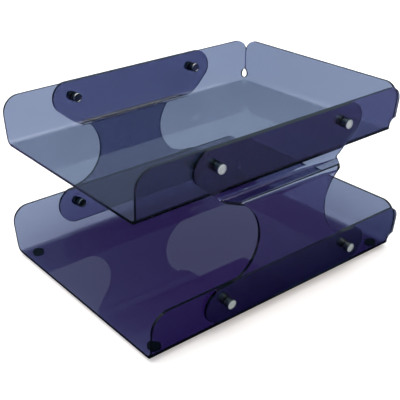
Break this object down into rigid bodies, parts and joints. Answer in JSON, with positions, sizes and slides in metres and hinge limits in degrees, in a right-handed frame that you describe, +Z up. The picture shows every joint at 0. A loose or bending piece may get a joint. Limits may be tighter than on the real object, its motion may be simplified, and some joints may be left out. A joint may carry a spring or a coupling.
{
  "type": "letter tray",
  "caption": "Two-tier open-fronted letter tray in bent smoky blue acrylic sheet, its trays held one above the other by bolted side brackets on short rubber feet.",
  "frame": {"origin": "on the desk, under the middle of the whole object's box", "axes": "+Z up, the open front faces -Y, +X is to the right as seen from the front"},
  "size_m": [0.3078, 0.3552, 0.1995],
  "materials": {
    "upper_tray_acrylic": "polished transparent smoky blue acrylic",
    "lower_tray_acrylic": "polished transparent smoky blue acrylic",
    "bracket_acrylic": "polished transparent smoky blue acrylic",
    "cap_metal": "satin turned",
    "stud_metal": "threaded",
    "washer_plastic": "clear",
    "foot_rubber": "matte"
  },
  "bodies": {
    "root": {"upper_tray": "upper_tray_acrylic", "lower_tray": "lower_tray_acrylic", "left_bracket": "bracket_acrylic", "right_bracket": "bracket_acrylic", "outer_cap_left_upper_front": "cap_metal", "outer_cap_left_upper_back": "cap_metal", "outer_cap_left_lower_front": "cap_metal", "outer_cap_left_lower_back": "cap_metal", "outer_cap_right_upper_front": "cap_metal", "outer_cap_right_upper_back": "cap_metal", "outer_cap_right_lower_front": "cap_metal", "outer_cap_right_lower_back": "cap_metal", "outer_washer_left_upper_front": "washer_plastic", "outer_washer_left_upper_back": "washer_plastic", "outer_washer_left_lower_front": "washer_plastic", "outer_washer_left_lower_back": "washer_plastic", "outer_washer_right_upper_front": "washer_plastic", "outer_washer_right_upper_back": "washer_plastic", "outer_washer_right_lower_front": "washer_plastic", "outer_washer_right_lower_back": "washer_plastic", "stud_left_upper_front": "stud_metal", "stud_left_upper_back": "stud_metal", "stud_left_lower_front": "stud_metal", "stud_left_lower_back": "stud_metal", "stud_right_upper_front": "stud_metal", "stud_right_upper_back": "stud_metal", "stud_right_lower_front": "stud_metal", "stud_right_lower_back": "stud_metal", "inner_washer_left_upper_front": "washer_plastic", "inner_washer_left_upper_back": "washer_plastic", "inner_washer_left_lower_front": "washer_plastic", "inner_washer_left_lower_back": "washer_plastic", "inner_washer_right_upper_front": "washer_plastic", "inner_washer_right_upper_back": "washer_plastic", "inner_washer_right_lower_front": "washer_plastic", "inner_washer_right_lower_back": "washer_plastic", "inner_cap_left_upper_front": "cap_metal", "inner_cap_left_upper_back": "cap_metal", "inner_cap_left_lower_front": "cap_metal", "inner_cap_left_lower_back": "cap_metal", "inner_cap_right_upper_front": "cap_metal", "inner_cap_right_upper_back": "cap_metal", "inner_cap_right_lower_front": "cap_metal", "inner_cap_right_lower_back": "cap_metal", "foot_left_front": "foot_rubber", "foot_left_back": "foot_rubber", "foot_right_front": "foot_rubber", "foot_right_back": "foot_rubber"}
  },
  "joints": []
}
